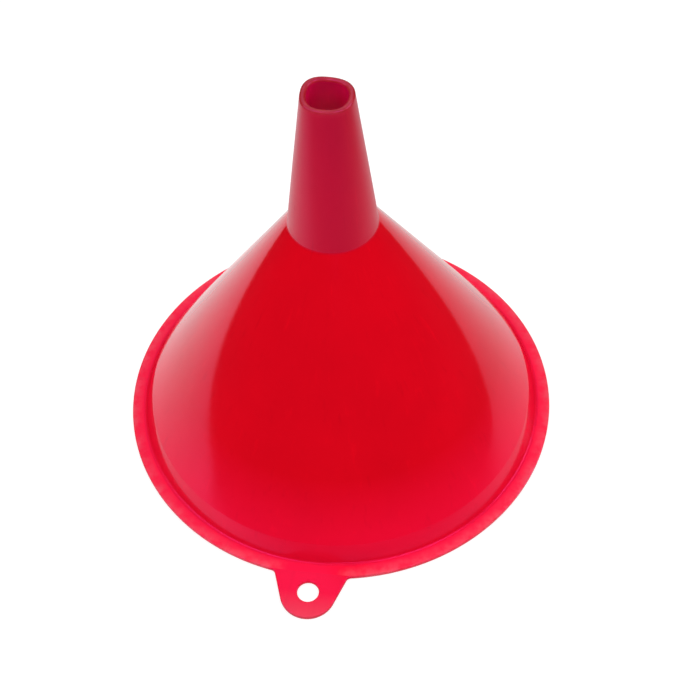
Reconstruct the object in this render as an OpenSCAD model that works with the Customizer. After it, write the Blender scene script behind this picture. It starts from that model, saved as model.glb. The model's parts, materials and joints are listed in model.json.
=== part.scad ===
/* [Rim] */
// Outer diameter of the flat rim flange
rim_d = 120; // [90:1:200]
// Width of the flange that shows outside the foot of the band
flange_w = 4; // [3.5:0.1:12]
// Thickness of the flange and of the hanging tab
flange_t = 1.2; // [1:0.1:3]

/* [Band] */
// Height of the steep band between the flange and the bowl
band_h = 5.1; // [3:0.1:15]
// How far the band leans in over its height
band_lean = 2.4; // [0.5:0.1:3]
// Concave fillet between the flange and the band
foot_fillet = 0.8; // [0.3:0.1:1.2]
// Rounding of the crease where the band turns into the bowl
crease_round = 3; // [2:0.1:5]

/* [Bowl] */
// Height of the conical bowl
bowl_h = 65; // [40:1:120]
// Wall thickness of the band and the bowl
bowl_wall = 1.3; // [1:0.1:2]

/* [Spout] */
// Outer diameter of the spout at its root
spout_root_d = 22.4; // [18:0.1:40]
// Outer diameter of the spout at its tip
spout_tip_d = 12.8; // [10:0.1:16]
// Length of the spout
spout_l = 39; // [20:1:100]
// Wall thickness of the spout
spout_wall = 1.5; // [1:0.1:2]
// Fillet between the bowl and the spout, outside and inside
neck_fillet = 1.5; // [1:0.1:3]
// Height of the collar that holds the fillet, above and below it
neck_reach = 2; // [2:0.1:4]
// Height of the rounded lip at the tip
lip_h = 1.6; // [1:0.1:3]
// Rounding of the lip's edges
lip_round = 0.6; // [0.2:0.05:0.7]

/* [Hanging tab] */
// Diameter of the hanging hole
hole_d = 5.6; // [4:0.1:8]
// Radius of the tab's round end
tab_end_r = 7.3; // [6:0.1:10]
// Distance from the rim's edge out to the centre of the round end and of the hole
tab_out = 4.4; // [3:0.1:10]
// Angle that each side of the tab spreads towards the rim
tab_spread = 20; // [5:1:30]
// Concave fillet where each side of the tab meets the rim
tab_fillet = 1.5; // [1:0.1:4]

/* [Hidden] */
$fn = 180;

rim_r = rim_d / 2;
seat_margin = 1; // flange edge that the tab's seat takes beyond its fillets
arc_steps = 6; // straight steps along each rounded corner

// Outer corners of the wall section, as [radius, height], from the rim up.
band_foot = [rim_r - flange_w, flange_t];
band_top = band_foot + [-band_lean, band_h];
spout_root = [spout_root_d / 2, band_top[1] + bowl_h];
spout_tip = [spout_tip_d / 2, spout_root[1] + spout_l];
toe = [band_foot[0] + foot_fillet, flange_t];

// Inner corners, one wall inside the outer faces.
band_in = inset(band_foot, band_top, bowl_wall);
bowl_in = inset(band_top, spout_root, bowl_wall);
spout_in = inset(spout_root, spout_tip, spout_wall);
mouth_in = at_height(band_in, 0);
crease_in = crossing(band_in, bowl_in);
root_in = crossing(bowl_in, spout_in);
tip_in = at_height(spout_in, spout_tip[1]);

// Roundings that the wall limits.
lip_r = min(lip_round, spout_wall * 0.45);
crease_in_r = max(crease_round - bowl_wall, crease_round / 4);

// Heights where one stretch of the wall ends and the next begins, each on a straight run.
crease_z = band_top[1] + crease_round / 2;
neck_low_z = spout_root[1] - neck_reach;
neck_high_z = spout_root[1] + neck_reach;
lip_z = spout_tip[1] - lip_h;

// The right side of the tab: a line that touches the round end, with its outward normal.
side_normal = [cos(tab_spread), -sin(tab_spread)];
side_dir = [sin(tab_spread), cos(tab_spread)];
end_centre = [0, -rim_r - tab_out];
side_touch = end_centre + tab_end_r * side_normal;
side_offset = side_touch * side_normal;
fillet_out = side_offset + tab_fillet;
fillet_centre = fillet_out * side_normal
    - sqrt(pow(rim_r + tab_fillet, 2) - pow(fillet_out, 2)) * side_dir;
fillet_rim = fillet_centre * rim_r / (rim_r + tab_fillet);
seat_half = fillet_rim[0] + seat_margin;
seat_y = -sqrt(pow(rim_r, 2) - pow(seat_half, 2));

function unit(v) = v / norm(v);
function cross2(u, v) = u[0] * v[1] - u[1] * v[0];

// A line is [point, direction]. inset moves the line a-b by d towards the funnel's axis.
function inset(a, b, d) = [a + d * [-unit(b - a)[1], unit(b - a)[0]], unit(b - a)];
function outer(a, b) = inset(a, b, 0);
function at_height(line, z) = line[0] + line[1] * (z - line[0][1]) / line[1][1];
function crossing(p, q) = p[0] + p[1] * cross2(q[0] - p[0], q[1]) / cross2(p[1], q[1]);

// Points along an arc, both ends included.
function arc(centre, r, from, to, steps) =
    [for (i = [0:steps]) let (a = from + (to - from) * i / steps) centre + r * [cos(a), sin(a)]];

// Points along the arc of radius r that rounds the corner a-b-c, from the side of a to the side of c.
function rounded(a, b, c, r) =
    let (u = unit(a - b), v = unit(c - b))
    let (half = acos(u * v) / 2, centre = b + unit(u + v) * r / sin(half))
    let (first = b + u * r / tan(half) - centre, last = b + v * r / tan(half) - centre)
    let (from = atan2(first[1], first[0]), turn = atan2(cross2(first, last), first * last))
    arc(centre, r, from, from + turn, arc_steps);

function reversed(list) = [for (i = [len(list) - 1:-1:0]) list[i]];

// A stretch of the moulded wall, from points up its outer face and points up its inner face.
module wall_ring(outer_face, inner_face) {
    rotate_extrude() polygon(concat(outer_face, reversed(inner_face)));
}

// Half plane beyond the tab's seat, where the tab takes over from the flange.
module beyond_seat() {
    translate([-rim_r, seat_y - rim_r]) square([rim_d, rim_r]);
}

// Outline of the tab, and of the edge of the flange that it takes over.
module tab_outline() {
    // The right-hand arcs, anticlockwise; the left-hand ones mirror them.
    end_arc = arc(end_centre, tab_end_r, -90, -tab_spread, arc_steps * 2);
    to_rim = atan2(-fillet_centre[1], -fillet_centre[0]);
    fillet_arc = arc(fillet_centre, tab_fillet, 180 - tab_spread, to_rim, arc_steps);
    right = concat(end_arc, fillet_arc, [[seat_half, seat_y]]);
    left = [for (p = reversed(right)) if (p[0] > 0) [-p[0], p[1]]];
    polygon(concat(right, left));
}

module rim_flange() {
    color("crimson") linear_extrude(flange_t) difference() {
        circle(rim_r);
        circle(toe[0]);
        beyond_seat();
    }
}

module rim_band() {
    color("crimson") wall_ring(
        concat(
            [[toe[0], 0], toe],
            rounded(toe, band_foot, band_top, foot_fillet),
            rounded(band_foot, band_top, spout_root, crease_round),
            [at_height(outer(band_top, spout_root), crease_z)]
        ),
        concat(
            [mouth_in],
            rounded(mouth_in, crease_in, root_in, crease_in_r),
            [at_height(bowl_in, crease_z)]
        )
    );
}

module bowl_cone() {
    color("red") wall_ring(
        [for (z = [crease_z, neck_low_z]) at_height(outer(band_top, spout_root), z)],
        [for (z = [crease_z, neck_low_z]) at_height(bowl_in, z)]
    );
}

module neck_collar() {
    color("firebrick") wall_ring(
        concat(
            [at_height(outer(band_top, spout_root), neck_low_z)],
            rounded(band_top, spout_root, spout_tip, neck_fillet),
            [at_height(outer(spout_root, spout_tip), neck_high_z)]
        ),
        concat(
            [at_height(bowl_in, neck_low_z)],
            rounded(crease_in, root_in, tip_in, neck_fillet),
            [at_height(spout_in, neck_high_z)]
        )
    );
}

module spout_tube() {
    color("firebrick") wall_ring(
        [for (z = [neck_high_z, lip_z]) at_height(outer(spout_root, spout_tip), z)],
        [for (z = [neck_high_z, lip_z]) at_height(spout_in, z)]
    );
}

module spout_lip() {
    color("firebrick") wall_ring(
        concat(
            [at_height(outer(spout_root, spout_tip), lip_z)],
            rounded(spout_root, spout_tip, tip_in, lip_r)
        ),
        concat(
            [at_height(spout_in, lip_z)],
            rounded(root_in, tip_in, spout_tip, lip_r)
        )
    );
}

module hang_tab() {
    color("crimson") linear_extrude(flange_t) difference() {
        tab_outline();
        translate(end_centre) circle(d = hole_d);
    }
}

rim_flange();
rim_band();
bowl_cone();
neck_collar();
spout_tube();
spout_lip();
hang_tab();
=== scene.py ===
"""A red moulded plastic funnel that stands mouth down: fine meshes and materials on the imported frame."""
import json
import math

import bmesh
import bpy
from mathutils import Matrix, Vector, noise


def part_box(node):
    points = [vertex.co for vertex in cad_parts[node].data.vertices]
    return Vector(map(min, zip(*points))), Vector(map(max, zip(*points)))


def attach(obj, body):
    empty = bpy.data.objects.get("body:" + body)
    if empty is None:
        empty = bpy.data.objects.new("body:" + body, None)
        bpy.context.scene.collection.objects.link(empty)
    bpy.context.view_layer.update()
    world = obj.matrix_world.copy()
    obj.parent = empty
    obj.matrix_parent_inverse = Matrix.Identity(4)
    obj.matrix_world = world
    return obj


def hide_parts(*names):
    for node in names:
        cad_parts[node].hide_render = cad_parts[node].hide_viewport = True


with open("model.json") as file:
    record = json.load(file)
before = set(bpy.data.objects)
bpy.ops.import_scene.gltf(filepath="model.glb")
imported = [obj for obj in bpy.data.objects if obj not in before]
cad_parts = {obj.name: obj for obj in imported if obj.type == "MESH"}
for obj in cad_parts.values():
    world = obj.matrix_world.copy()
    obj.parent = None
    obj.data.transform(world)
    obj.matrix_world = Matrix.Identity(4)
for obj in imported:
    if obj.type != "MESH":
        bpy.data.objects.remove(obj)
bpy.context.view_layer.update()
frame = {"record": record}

MM = 0.001

# ---------------------------------------------------------------- sizes that the boxes don't give, in metres
BAND_H = 5.1 * MM
FOOT_FILLET = 0.8 * MM
CREASE_ROUND = 3 * MM
BOWL_WALL = 1.3 * MM
SPOUT_WALL = 1.5 * MM
NECK_FILLET = 1.5 * MM
LIP_ROUND = 0.6 * MM
EDGE_ROUND = 0.35 * MM
TAB_END_R = 7.3 * MM
TAB_FILLET = 1.5 * MM
TAB_SPREAD = math.radians(20)
SEAT_MARGIN = 1 * MM

# ---------------------------------------------------------------- how finely the meshes are cut
AROUND = 288
ARC_STEPS = 8
ROW_STEP = 2 * MM
HOLE_STEPS = 72

# ---------------------------------------------------------------- small departures from the ideal shape
TIP_SQUARENESS = 0.045
TIP_BULGE = 0.09
TIP_CORNER = math.radians(134)
TIP_BULGE_NARROWNESS = 6
WOBBLE = 0.02 * MM
WOBBLE_SIZE = 28 * MM
WOBBLE_RISE = 2 * BAND_H

# ---------------------------------------------------------------- what the frame gives
rim_r = min(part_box("rim_flange")[1].x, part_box("rim_flange")[1].y)
flange_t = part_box("rim_flange")[1].z
toe_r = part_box("rim_band")[1].x
crease_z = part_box("bowl_cone")[0].z
neck_low_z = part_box("neck_collar")[0].z
neck_high_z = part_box("spout_tube")[0].z
lip_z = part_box("spout_lip")[0].z
tip_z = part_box("spout_lip")[1].z
seat_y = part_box("hang_tab")[1].y
hole = next(m for m in frame["record"]["mounts"] if m["name"] == "hanging_hole")
hole_r = hole["dims"]["r_mm"] * MM
end_centre = Vector(hole["pos_m"][:2])


# ---------------------------------------------------------------- the section: points are (radius, height)
def line(a, b, inset=0.0):
    """The line a-b as (point, direction), moved towards the funnel's axis by inset."""
    d = (b - a).normalized()
    return a + inset * Vector((-d.y, d.x)), d


def at_height(ln, z):
    return ln[0] + ln[1] * ((z - ln[0].y) / ln[1].y)


def crossing(p, q):
    return p[0] + p[1] * ((q[0] - p[0]).cross(q[1]) / p[1].cross(q[1]))


def rounded(a, b, c, radius):
    """Points along the arc that rounds the corner a-b-c."""
    u, v = (a - b).normalized(), (c - b).normalized()
    half = u.angle(v) / 2
    centre = b + (u + v).normalized() * (radius / math.sin(half))
    first = b + u * (radius / math.tan(half)) - centre
    last = b + v * (radius / math.tan(half)) - centre
    turn = math.atan2(first.cross(last), first.dot(last))
    return [centre + Matrix.Rotation(turn * i / ARC_STEPS, 2) @ first for i in range(ARC_STEPS + 1)]


def straight(ln, z_from, z_to):
    """Points along a line, in rows of about ROW_STEP."""
    rows = max(1, math.ceil((z_to - z_from) / ROW_STEP))
    return [at_height(ln, z_from + (z_to - z_from) * i / rows) for i in range(rows + 1)]


bowl_low = Vector((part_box("bowl_cone")[1].x, crease_z))
bowl_high = Vector((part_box("neck_collar")[1].x, neck_low_z))
spout_low = Vector((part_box("spout_tube")[1].x, neck_high_z))
spout_high = Vector((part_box("spout_lip")[1].x, lip_z))
bowl_out = line(bowl_low, bowl_high)
spout_out = line(spout_low, spout_high)
toe = Vector((toe_r, flange_t))
foot = toe - Vector((FOOT_FILLET, 0))
band_top = at_height(bowl_out, flange_t + BAND_H)
root = crossing(bowl_out, spout_out)
tip = at_height(spout_out, tip_z)

band_in = line(foot, band_top, BOWL_WALL)
bowl_in = line(band_top, root, BOWL_WALL)
spout_in = line(root, tip, SPOUT_WALL)
mouth_in = at_height(band_in, 0)
crease_in = crossing(band_in, bowl_in)
root_in = crossing(bowl_in, spout_in)
tip_in = at_height(spout_in, tip_z)

sections = {
    "rim_band": (
        [Vector((toe_r, 0)), toe]
        + rounded(toe, foot, band_top, FOOT_FILLET)
        + rounded(foot, band_top, root, CREASE_ROUND)
        + [at_height(bowl_out, crease_z)],
        rounded(Vector((toe_r, 0)), mouth_in, crease_in, EDGE_ROUND)
        + rounded(mouth_in, crease_in, root_in, CREASE_ROUND - BOWL_WALL)
        + [at_height(bowl_in, crease_z)],
    ),
    "bowl_cone": (
        straight(bowl_out, crease_z, neck_low_z),
        straight(bowl_in, crease_z, neck_low_z),
    ),
    "neck_collar": (
        [at_height(bowl_out, neck_low_z)]
        + rounded(band_top, root, tip, NECK_FILLET)
        + [at_height(spout_out, neck_high_z)],
        [at_height(bowl_in, neck_low_z)]
        + rounded(crease_in, root_in, tip_in, NECK_FILLET)
        + [at_height(spout_in, neck_high_z)],
    ),
    "spout_tube": (
        straight(spout_out, neck_high_z, lip_z),
        straight(spout_in, neck_high_z, lip_z),
    ),
    "spout_lip": (
        [at_height(spout_out, lip_z)] + rounded(root, tip, tip_in, LIP_ROUND),
        [at_height(spout_in, lip_z)] + rounded(root_in, tip_in, tip, LIP_ROUND),
    ),
}


# ---------------------------------------------------------------- mesh building
def settle(p):
    """Moves a point of the ideal shape as in a real moulding: a square, bulged tip and faint waves.

    The waves only pull the wall in.
    """
    r = math.hypot(p.x, p.y)
    angle = math.atan2(p.y, p.x)
    up_spout = max(0.0, (p.z - root.y) / (tip_z - root.y))
    square = TIP_SQUARENESS * (1 - math.cos(4 * (angle - TIP_CORNER))) / 2
    bulge = TIP_BULGE * max(0.0, math.cos(angle - TIP_CORNER)) ** TIP_BULGE_NARROWNESS
    up_wall = min(1.0, max(0.0, (p.z - flange_t) / WOBBLE_RISE))
    wave = WOBBLE * up_wall * (noise.noise(p / WOBBLE_SIZE) - 1)
    scale = 1 + (bulge - square) * up_spout**2 + wave / r
    return Vector((p.x * scale, p.y * scale, p.z))


def loop_faces(bm, lower, upper):
    """Quads between two closed loops of vertices."""
    for i in range(len(lower)):
        j = (i + 1) % len(lower)
        bm.faces.new((lower[i], lower[j], upper[j], upper[i]))


def revolve(outline):
    """A closed ring round Z from a closed outline of (radius, height) points."""
    bm = bmesh.new()
    loops = []
    turns = [2 * math.pi * i / AROUND for i in range(AROUND)]
    for p in outline:
        ring = (Vector((p.x * math.cos(t), p.x * math.sin(t), p.y)) for t in turns)
        loops.append([bm.verts.new(settle(q)) for q in ring])
    for lower, upper in zip(loops, loops[1:] + loops[:1]):
        loop_faces(bm, lower, upper)
    return bm


def cut(bm, keep_back):
    """Cuts at the tab's seat, keeps one side and closes it."""
    made = bmesh.ops.bisect_plane(
        bm,
        geom=bm.verts[:] + bm.edges[:] + bm.faces[:],
        plane_co=(0, seat_y, 0),
        plane_no=(0, 1, 0),
        clear_inner=keep_back,
        clear_outer=not keep_back,
    )
    edges = [g for g in made["geom_cut"] if isinstance(g, bmesh.types.BMEdge)]
    bmesh.ops.holes_fill(bm, edges=edges)


def edge_steps():
    """The rounded edge of the plate from below, as (distance in from the outline, height)."""
    steps = [math.pi / 2 * i / ARC_STEPS for i in range(ARC_STEPS + 1)]
    lower = [(EDGE_ROUND * (1 - math.sin(t)), EDGE_ROUND * (1 - math.cos(t))) for t in steps]
    return lower + [(d, flange_t - z) for d, z in reversed(lower)]


def plate_edge(bm, points):
    """The rounded edge round an outline of (place, outward normal): its loops from below to above."""
    loops = []
    for inset, z in edge_steps():
        loops.append([bm.verts.new((*(p - n * inset), z)) for p, n in points])
    for lower, upper in zip(loops, loops[1:]):
        loop_faces(bm, lower, upper)
    return loops


def plate_face(bm, loops):
    """A flat face between closed loops of vertices."""
    edges = []
    for loop in loops:
        edges += [bm.edges.get((a, b)) or bm.edges.new((a, b)) for a, b in zip(loop, loop[1:] + loop[:1])]
    bmesh.ops.triangle_fill(bm, use_beauty=True, edges=edges)


def arc(centre, radius, start, end, steps, facing=1):
    """Points along an arc with outward normals, which point to the centre where facing is -1."""
    turns = (start + (end - start) * i / steps for i in range(steps + 1))
    return [(centre + radius * n, facing * n) for n in (Vector((math.cos(t), math.sin(t))) for t in turns)]


def tab_outline():
    """The tab's outline, anticlockwise from the bottom, with a stretch of the rim on each side."""
    side_normal = Vector((math.cos(TAB_SPREAD), -math.sin(TAB_SPREAD)))
    side_dir = Vector((math.sin(TAB_SPREAD), math.cos(TAB_SPREAD)))
    fillet_out = (end_centre + TAB_END_R * side_normal).dot(side_normal) + TAB_FILLET
    along = math.sqrt((rim_r + TAB_FILLET) ** 2 - fillet_out**2)
    fillet_centre = fillet_out * side_normal - along * side_dir
    to_rim = math.atan2(-fillet_centre.y, -fillet_centre.x)
    rim_from = to_rim - math.pi
    rim_to = rim_from + 4 * SEAT_MARGIN / rim_r
    right = arc(end_centre, TAB_END_R, -math.pi / 2, -TAB_SPREAD, ARC_STEPS * 4)
    right += arc(fillet_centre, TAB_FILLET, math.pi - TAB_SPREAD, to_rim, ARC_STEPS, facing=-1)
    right += arc(Vector((0, 0)), rim_r, rim_from, rim_to, ARC_STEPS)[1:]
    left = [(Vector((-p.x, p.y)), Vector((-n.x, n.y))) for p, n in reversed(right[1:])]
    return right + left


def flange_mesh():
    outline = [Vector((toe_r, 0))] + [Vector((rim_r - d, z)) for d, z in edge_steps()] + [toe]
    bm = revolve(outline)
    cut(bm, keep_back=True)
    return bm


def tab_mesh():
    bm = bmesh.new()
    around = plate_edge(bm, tab_outline())
    bore = plate_edge(bm, arc(end_centre, hole_r, 0, 2 * math.pi, HOLE_STEPS, facing=-1)[:-1])
    plate_face(bm, [around[0], bore[0]])
    plate_face(bm, [around[-1], bore[-1]])
    cut(bm, keep_back=False)
    return bm


def wall_mesh(name):
    outer, inner = sections[name]
    return revolve(outer + inner[::-1])


# ---------------------------------------------------------------- materials
PLASTIC_IOR = 1.49
REFLECTION_TINT = (1.0, 0.1, 0.7, 1.0)

# Sizes of the patterns: the higher the scale, the finer the pattern.
STREAK_DRIFT = 9
MOTTLE_SCALE = 55
RUB_SCALE = 420
HAZE_SCALE = 900
SCUFFS = [(0.5, (2600, 70, 140)), (2.1, (90, 2300, 120))]

# What the patterns and masks add to the tone and to the roughness, at most.
PALE_STREAK = 0.09
DARK_STREAK = -0.07
# Painted shade: how much the corner between the band and the flange is darkened.
CORNER_PAINTED_SHADE = -0.10
SCUFF_ROUGHNESS = 0.1
EDGE_ROUGHNESS = 0.08
CORNER_ROUGHNESS = 0.15


class Nodes:
    """A material's node tree, with one short call for each kind of node."""

    def __init__(self, name):
        self.material = bpy.data.materials.new(name)
        self.material.use_nodes = True
        self.tree = self.material.node_tree
        self.shader = self.tree.nodes["Principled BSDF"]

    def add(self, kind, inputs=(), **settings):
        node = self.tree.nodes.new(kind)
        for key, value in settings.items():
            setattr(node, key, value)
        for key, value in dict(inputs).items():
            self.set(node.inputs[key], value)
        return node

    def set(self, socket, value):
        if isinstance(value, bpy.types.NodeSocket):
            self.tree.links.new(value, socket)
        else:
            socket.default_value = value

    def math(self, operation, a, b=0.0):
        return self.add("ShaderNodeMath", {0: a, 1: b}, operation=operation).outputs[0]

    def vector_math(self, operation, inputs):
        return self.add("ShaderNodeVectorMath", inputs, operation=operation).outputs[0]

    def noise(self, vector, scale, detail=2.0, roughness=0.5):
        inputs = {"Vector": vector, "Scale": scale, "Detail": detail, "Roughness": roughness}
        return self.add("ShaderNodeTexNoise", inputs).outputs[0]

    def remap(self, value, low, high, to_low, to_high):
        inputs = {0: value, 1: low, 2: high, 3: to_low, 4: to_high}
        return self.add("ShaderNodeMapRange", inputs).outputs[0]

    def lerp(self, factor, a, b):
        return self.add("ShaderNodeMix", {0: factor, 2: a, 3: b}, data_type="FLOAT").outputs[0]

    def mix(self, factor, a, b):
        return self.add("ShaderNodeMix", {0: factor, 4: a, 5: b}, data_type="VECTOR").outputs[1]


def plastic(name, stops, streaks, axis=2):
    """Moulded plastic with flow streaks, mottling, scuffs, rubbed edges paled partly by painted highlight,
    and dull corners darkened by painted shade.

    Stops are (place, finish): between two of them along the axis one finish turns into the next.
    """
    n = Nodes(name)
    place = n.add("ShaderNodeTexCoord").outputs["Object"]
    travel = n.add("ShaderNodeSeparateXYZ", {0: place}).outputs[axis]
    shares = [n.remap(travel, low[0], high[0], 0, 1) for low, high in zip(stops, stops[1:])]
    finishes = [finish for _, finish in stops]

    def blended(join, values):
        """The first value, joined to each next one as far as the place is along the stops."""
        result = values[0]
        for share, value in zip(shares, values[1:]):
            result = join(share, result, value)
        return result

    edge = n.add("ShaderNodeAttribute", attribute_name="edge").outputs["Fac"]
    corner = n.add("ShaderNodeAttribute", attribute_name="corner").outputs["Fac"]

    # Flow streaks run up the wall: they depend on the direction round the axis, and hardly on the height.
    flat = n.vector_math("MULTIPLY", {0: place, 1: (1, 1, 0)})
    around = n.vector_math("NORMALIZE", {0: flat})
    drift = n.vector_math("MULTIPLY", {0: place, 1: (0, 0, STREAK_DRIFT)})
    streak = n.noise(n.vector_math("ADD", {0: around, 1: drift}), streaks, detail=4, roughness=0.62)
    mottle = n.noise(place, MOTTLE_SCALE, detail=3)

    tone = n.remap(mottle, 0.3, 0.7, 0.96, 1.03)
    tone = n.math("ADD", tone, n.remap(streak, 0.6, 0.8, 0, PALE_STREAK))
    tone = n.math("ADD", tone, n.remap(streak, 0.4, 0.24, 0, DARK_STREAK))
    # Painted shade darkens the corner between the band and the flange.
    tone = n.math("ADD", tone, n.math("MULTIPLY", corner, CORNER_PAINTED_SHADE))
    colour = blended(n.mix, [finish["colour"] for finish in finishes])
    colour = n.vector_math("SCALE", {0: colour, 3: tone})
    # Rounded edges are paled, partly as rubbed wear and partly as a painted highlight.
    rub_and_highlight = n.remap(n.noise(place, RUB_SCALE, detail=3), 0.35, 0.65, 0.15, 0.6)
    rub_and_highlight = n.math("MULTIPLY", edge, rub_and_highlight)
    n.set(n.shader.inputs["Base Color"], n.mix(rub_and_highlight, colour, WORN_AND_PAINTED_HIGHLIGHT))

    # A fine haze, and scuffs: long thin marks in two directions.
    haze = n.noise(place, HAZE_SCALE, detail=4)
    rough = blended(n.lerp, [finish["roughness"] for finish in finishes])
    rough = n.math("ADD", rough, n.remap(haze, 0.35, 0.75, -0.015, 0.03))
    for turn, squeeze in SCUFFS:
        inputs = {"Vector": place, "Rotation": (turn, 0.3, turn), "Scale": squeeze}
        turned = n.add("ShaderNodeMapping", inputs).outputs[0]
        rough = n.math("ADD", rough, n.remap(n.noise(turned, 1), 0.7, 0.78, 0, SCUFF_ROUGHNESS))
    rough = n.math("ADD", rough, n.math("MULTIPLY", edge, EDGE_ROUGHNESS))
    rough = n.math("ADD", rough, n.math("MULTIPLY", corner, CORNER_ROUGHNESS))
    n.set(n.shader.inputs["Roughness"], rough)
    n.shader.inputs["IOR"].default_value = PLASTIC_IOR
    n.shader.inputs["Specular Tint"].default_value = REFLECTION_TINT

    relief = [n.math("MULTIPLY", n.noise(place, f["grain"]), f["depth"]) for f in finishes]
    relief = blended(n.lerp, relief)
    bump = n.add("ShaderNodeBump", {"Height": relief, "Distance": 1.0, "Strength": 1.0})
    n.set(n.shader.inputs["Normal"], bump.outputs[0])
    return n.material


# Finishes: the base colour, the roughness, and the scale and depth of the grain.
# The pale edge colour: partly wear, partly a painted highlight on the rounded edges.
WORN_AND_PAINTED_HIGHLIGHT = (0.82, 0.11, 0.14)
GLOSS = {"colour": (0.765, 0.002, 0.011), "roughness": 0.09, "grain": 500, "depth": 0.004 * MM}
# Painted glow: the band, the flange and the bottom of the bowl get a brighter red that stands in for light
# coming through the thin wall from the pale floor.
RIM_PAINTED_GLOW = {**GLOSS, "colour": (0.92, 0.004, 0.032)}
SATIN = {"colour": (0.68, 0.003, 0.020), "roughness": 0.33, "grain": 2600, "depth": 0.012 * MM}
# Painted shade: the spout darkens towards the tip, standing in for less light coming through the thinner
# wall there.
SATIN_END_PAINTED_SHADE = {**SATIN, "colour": (0.585, 0.003, 0.022)}
# Painted shade: the lip is much darker, so its top does not look as lit as the lamps above would make it.
LIP_PAINTED_SHADE = {**SATIN, "colour": (0.30, 0.012, 0.018), "roughness": 0.15}
INSIDE = {**SATIN, "colour": (0.79, 0.005, 0.10), "roughness": 0.4}
# Painted glow: the tab's brighter red stands in for light coming through the thin plate from the floor
# below.
TAB_PAINTED_GLOW = {**RIM_PAINTED_GLOW, "colour": (0.84, 0.006, 0.036)}
# Painted reflection: the tab's end is paler and pinker, standing in for the light behind reflected in it;
# this fades out towards the hole.
TAB_END_PAINTED_SHEEN = {**GLOSS, "colour": (0.80, 0.05, 0.08), "roughness": 0.2}
RIM_BLEND = 14 * MM
# The bowl turns from the painted glow at the crease into the plain gloss over RIM_BLEND, so it is brighter
# towards the bottom.
BOWL_STOPS = [(crease_z, RIM_PAINTED_GLOW), (crease_z + RIM_BLEND, GLOSS)]
TAB_STOPS = [(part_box("hang_tab")[0].y, TAB_END_PAINTED_SHEEN), (end_centre.y, TAB_PAINTED_GLOW)]
SPOUT_STOPS = [
    (root.y - 0.5 * MM, GLOSS),
    (root.y + 0.4 * MM, SATIN),
    # From here the spout darkens into the painted shade at the tip, and the lip is darker still.
    (lip_z, SATIN_END_PAINTED_SHADE),
    (tip_z - LIP_ROUND, SATIN_END_PAINTED_SHADE),
    (tip_z, LIP_PAINTED_SHADE),
]

gloss_red = plastic("gloss_red", BOWL_STOPS, streaks=16)
tab_red = plastic("gloss_red_tab", TAB_STOPS, streaks=16, axis=1)
satin_red = plastic("satin_red", SPOUT_STOPS, streaks=9)
inside_red = plastic("satin_red_inside", [(0, INSIDE)], streaks=9)


# ---------------------------------------------------------------- pieces
# How much of the pale edge colour, part wear and part painted highlight, the lip gets at most.
LIP_WEAR_AND_HIGHLIGHT = 0.25


def edge_mask(p, name):
    """How much a point is on a rounded edge that hands and surfaces rub; the pale colour there is partly
    wear and partly painted highlight.
    """
    if name == "spout_lip":
        return min(LIP_WEAR_AND_HIGHLIGHT, max(0.0, (p.z - (tip_z - LIP_ROUND)) / LIP_ROUND))
    if name == "rim_flange":
        return min(1.0, max(0.0, (math.hypot(p.x, p.y) - (rim_r - 2 * EDGE_ROUND)) / EDGE_ROUND))
    return 0.0


def corner_mask(p, name):
    """How much a point is in the corner between the band and the flange: there the colour is darkened as
    painted shade and the roughness raised.
    """
    outside = math.hypot(p.x, p.y) > foot.x - BOWL_WALL / 2
    return max(0.0, 1 - abs(p.z - flange_t) / FOOT_FILLET) if name == "rim_band" and outside else 0.0


def in_bore(face):
    """Whether a face is on the wall of the bore, below the rounded lip."""
    inwards = face.normal.x * face.center.x + face.normal.y * face.center.y < 0
    return inwards and face.center.z < tip_z - LIP_ROUND


def add_piece(name, bm, material, bore=None):
    """A closed piece that stands for the node of that name. Its bore may have a material of its own."""
    bmesh.ops.recalc_face_normals(bm, faces=bm.faces[:])
    mesh = bpy.data.meshes.new(name)
    bm.to_mesh(mesh)
    bm.free()
    for mask, rule in (("edge", edge_mask), ("corner", corner_mask)):
        values = mesh.attributes.new(mask, "FLOAT", "POINT").data
        values.foreach_set("value", [rule(v.co, name) for v in mesh.vertices])
    mesh.polygons.foreach_set("use_smooth", [True] * len(mesh.polygons))
    mesh.set_sharp_from_angle(angle=math.radians(40))
    mesh.materials.append(material)
    if bore:
        mesh.materials.append(bore)
        mesh.polygons.foreach_set("material_index", [int(in_bore(f)) for f in mesh.polygons])
    piece = bpy.data.objects.new(name + "_moulded", mesh)
    bpy.context.scene.collection.objects.link(piece)
    flat_faces = piece.modifiers.new("flat_faces", "WEIGHTED_NORMAL")
    flat_faces.keep_sharp = True
    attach(piece, "root")
    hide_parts(name)


add_piece("rim_flange", flange_mesh(), gloss_red)
add_piece("hang_tab", tab_mesh(), tab_red)
add_piece("rim_band", wall_mesh("rim_band"), gloss_red)
add_piece("bowl_cone", wall_mesh("bowl_cone"), gloss_red)
add_piece("neck_collar", wall_mesh("neck_collar"), satin_red)
add_piece("spout_tube", wall_mesh("spout_tube"), satin_red, inside_red)
add_piece("spout_lip", wall_mesh("spout_lip"), satin_red, inside_red)


# ---------------------------------------------------------------- floor
FLOOR_HALF = 0.6
FLOOR_GAP = 0.02 * MM
FLOOR_GLOW = 0.62
FLOOR_TONES = [(0.45, 0.45, 0.45), (0.47, 0.47, 0.47)]
FLOOR_FADES = (0.3, 0.55)
DARK = 0.015

# How bright the floor is in mirror images: (from, to, brightness at the first, brightness at the second).
BY_SIDE = (0.16, -0.12, 0.52, 1)
BY_FRONT = (0.045, 0.08, 1, 0.25)
FRONT_SLANT = 0.35

# The lines beyond which it is dark in them: x at y = 0, the slant for all y, and a bend for y above 0.
FLAG_EDGE = 0.001
LEFT_FLAG = {"at": -0.226, "slant": -0.10, "bend": 0.0}
RIGHT_FLAG = {"at": 0.140, "slant": 0.50, "bend": -0.6}


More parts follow.
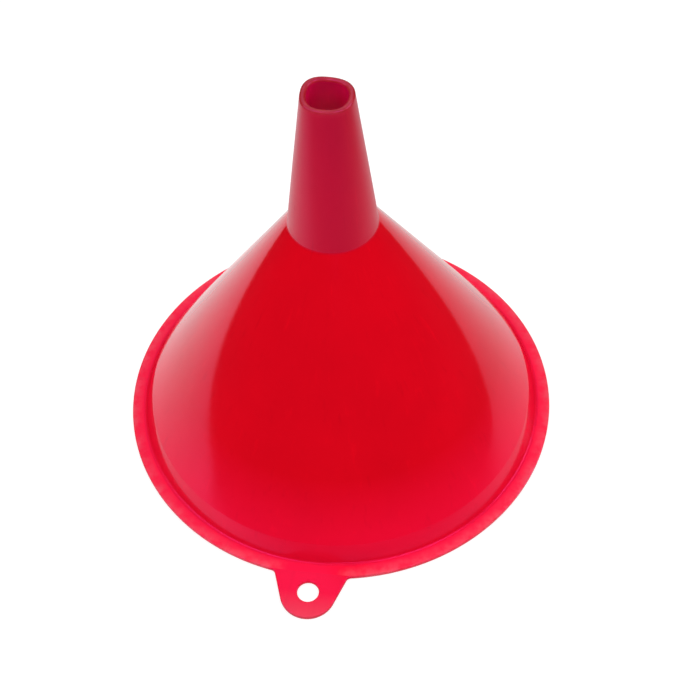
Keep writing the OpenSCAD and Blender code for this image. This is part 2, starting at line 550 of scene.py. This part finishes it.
def add_floor():
    """A large pale sheet that glows a little. It is seen from above only, and fades into the background.

    In mirror images it is dimmer on the right and in front, and dark beyond the left and right flags.
    """
    corners = [(-1, -1), (1, -1), (1, 1), (-1, 1)]
    mesh = bpy.data.meshes.new("floor")
    mesh.from_pydata([(x * FLOOR_HALF, y * FLOOR_HALF, -FLOOR_GAP) for x, y in corners], [], [(0, 1, 2, 3)])
    n = Nodes("pale_sheet")
    place = n.add("ShaderNodeTexCoord").outputs["Object"]
    tone = n.remap(n.noise(place, 30, detail=3), 0.3, 0.7, 0, 1)
    n.set(n.shader.inputs["Base Color"], n.mix(tone, *FLOOR_TONES))
    n.shader.inputs["Roughness"].default_value = 0.8
    n.shader.inputs["Specular IOR Level"].default_value = 0.1
    n.shader.inputs["Emission Color"].default_value = (1, 1, 1, 1)
    n.shader.inputs["Emission Strength"].default_value = FLOOR_GLOW

    across, along = n.add("ShaderNodeSeparateXYZ", {0: place}).outputs[:2]
    in_front = n.math("SUBTRACT", n.math("MULTIPLY", across, FRONT_SLANT), along)
    lit = n.math("MULTIPLY", n.remap(across, *BY_SIDE), n.remap(in_front, *BY_FRONT))
    behind = n.math("MAXIMUM", along, 0.0)
    for flag, outwards in ((LEFT_FLAG, -FLAG_EDGE), (RIGHT_FLAG, FLAG_EDGE)):
        off = n.math("ADD", across, n.math("MULTIPLY", along, flag["slant"]))
        off = n.math("ADD", off, n.math("MULTIPLY", behind, flag["bend"]))
        lit = n.math("MULTIPLY", lit, n.remap(off, flag["at"] + outwards, flag["at"], 0, 1))
    rays = n.add("ShaderNodeLightPath").outputs
    shaded = n.math("MULTIPLY", rays["Is Glossy Ray"], n.math("SUBTRACT", 1.0, lit))
    dark = n.add("ShaderNodeEmission", {"Color": (DARK, DARK, DARK, 1)}).outputs[0]
    above = n.add("ShaderNodeMixShader", {0: shaded, 1: n.shader.outputs[0], 2: dark}).outputs[0]
    below = n.add("ShaderNodeNewGeometry").outputs["Backfacing"]
    far = n.add("ShaderNodeVectorMath", {0: place}, operation="LENGTH").outputs["Value"]
    faded = n.math("MULTIPLY", rays["Is Camera Ray"], n.remap(far, *FLOOR_FADES, 0, 1))
    unseen = n.math("MAXIMUM", below, faded)
    clear = n.add("ShaderNodeBsdfTransparent").outputs[0]
    surface = n.add("ShaderNodeMixShader", {0: unseen, 1: above, 2: clear}).outputs[0]
    n.set(n.tree.nodes["Material Output"].inputs["Surface"], surface)
    mesh.materials.append(n.material)
    floor = bpy.data.objects.new("floor", mesh)
    bpy.context.scene.collection.objects.link(floor)


add_floor()


# ---------------------------------------------------------------- light
LIGHT_TARGET = Vector((0, 0, 0.04))
LIGHT_DISTANCE = 0.9


def softbox(name, azimuth, elevation, power, size=0.5):
    """A round soft light that faces the funnel. Azimuth is round Z from +X, in degrees."""
    light = bpy.data.lights.new(name, "AREA")
    light.shape = "DISK"
    light.size = size
    light.energy = power
    lamp = bpy.data.objects.new(name, light)
    a, e = math.radians(azimuth), math.radians(elevation)
    back = Vector((math.cos(a) * math.cos(e), math.sin(a) * math.cos(e), math.sin(e)))
    lamp.location = LIGHT_TARGET + back * LIGHT_DISTANCE
    lamp.rotation_mode = "QUATERNION"
    lamp.rotation_quaternion = back.to_track_quat("Z", "Y")
    lamp.visible_camera = False
    bpy.context.scene.collection.objects.link(lamp)


softbox("right_low", azimuth=20, elevation=40, power=2.75)
softbox("right_high", azimuth=-30, elevation=66, power=2.85)
softbox("left_high", azimuth=-145, elevation=66, power=2.7)
softbox("left_low", azimuth=-170, elevation=40, power=1.7)
softbox("front", azimuth=-80, elevation=32, power=0.8, size=0.3)
softbox("back_high", azimuth=110, elevation=60, power=1.8, size=0.9)

# The background is white for the camera, and dark for all other rays.
world = bpy.data.worlds.new("studio")
bpy.context.scene.world = world
world.use_nodes = True
tree = world.node_tree
pale = tree.nodes["Background"]
pale.inputs["Color"].default_value = (1, 1, 1, 1)
dark = tree.nodes.new("ShaderNodeBackground")
dark.inputs["Color"].default_value = (DARK, DARK, DARK, 1)
ray = tree.nodes.new("ShaderNodeLightPath")
seen = tree.nodes.new("ShaderNodeMixShader")
tree.links.new(ray.outputs["Is Camera Ray"], seen.inputs[0])
tree.links.new(dark.outputs[0], seen.inputs[1])
tree.links.new(pale.outputs[0], seen.inputs[2])
tree.links.new(seen.outputs[0], tree.nodes["World Output"].inputs["Surface"])
bpy.context.scene.view_settings.view_transform = "Standard"

# ---------------------------------------------------------------- camera
CAMERA_AZIMUTH = math.radians(-80.4)
CAMERA_OUT = 205.43 * MM
CAMERA_UP = 281.57 * MM
CAMERA_PITCH = math.radians(51.88)
CAMERA_YAW = 0.0151
CAMERA_ROLL = -0.0335
SENSOR_WIDTH = 36
FOCAL_LENGTH = 61.71

lens = bpy.data.cameras.new("camera")
lens.sensor_width = SENSOR_WIDTH
lens.lens = FOCAL_LENGTH
lens.clip_start = 0.01
camera = bpy.data.objects.new("camera", lens)
spot = Vector((CAMERA_OUT * math.cos(CAMERA_AZIMUTH), CAMERA_OUT * math.sin(CAMERA_AZIMUTH), CAMERA_UP))
heading = Matrix.Rotation(CAMERA_AZIMUTH + math.pi / 2 - CAMERA_YAW, 4, "Z")
tilt = Matrix.Rotation(math.pi / 2 - CAMERA_PITCH, 4, "X")
camera.matrix_world = Matrix.Translation(spot) @ heading @ tilt @ Matrix.Rotation(CAMERA_ROLL, 4, "Z")
bpy.context.scene.collection.objects.link(camera)
bpy.context.scene.camera = camera
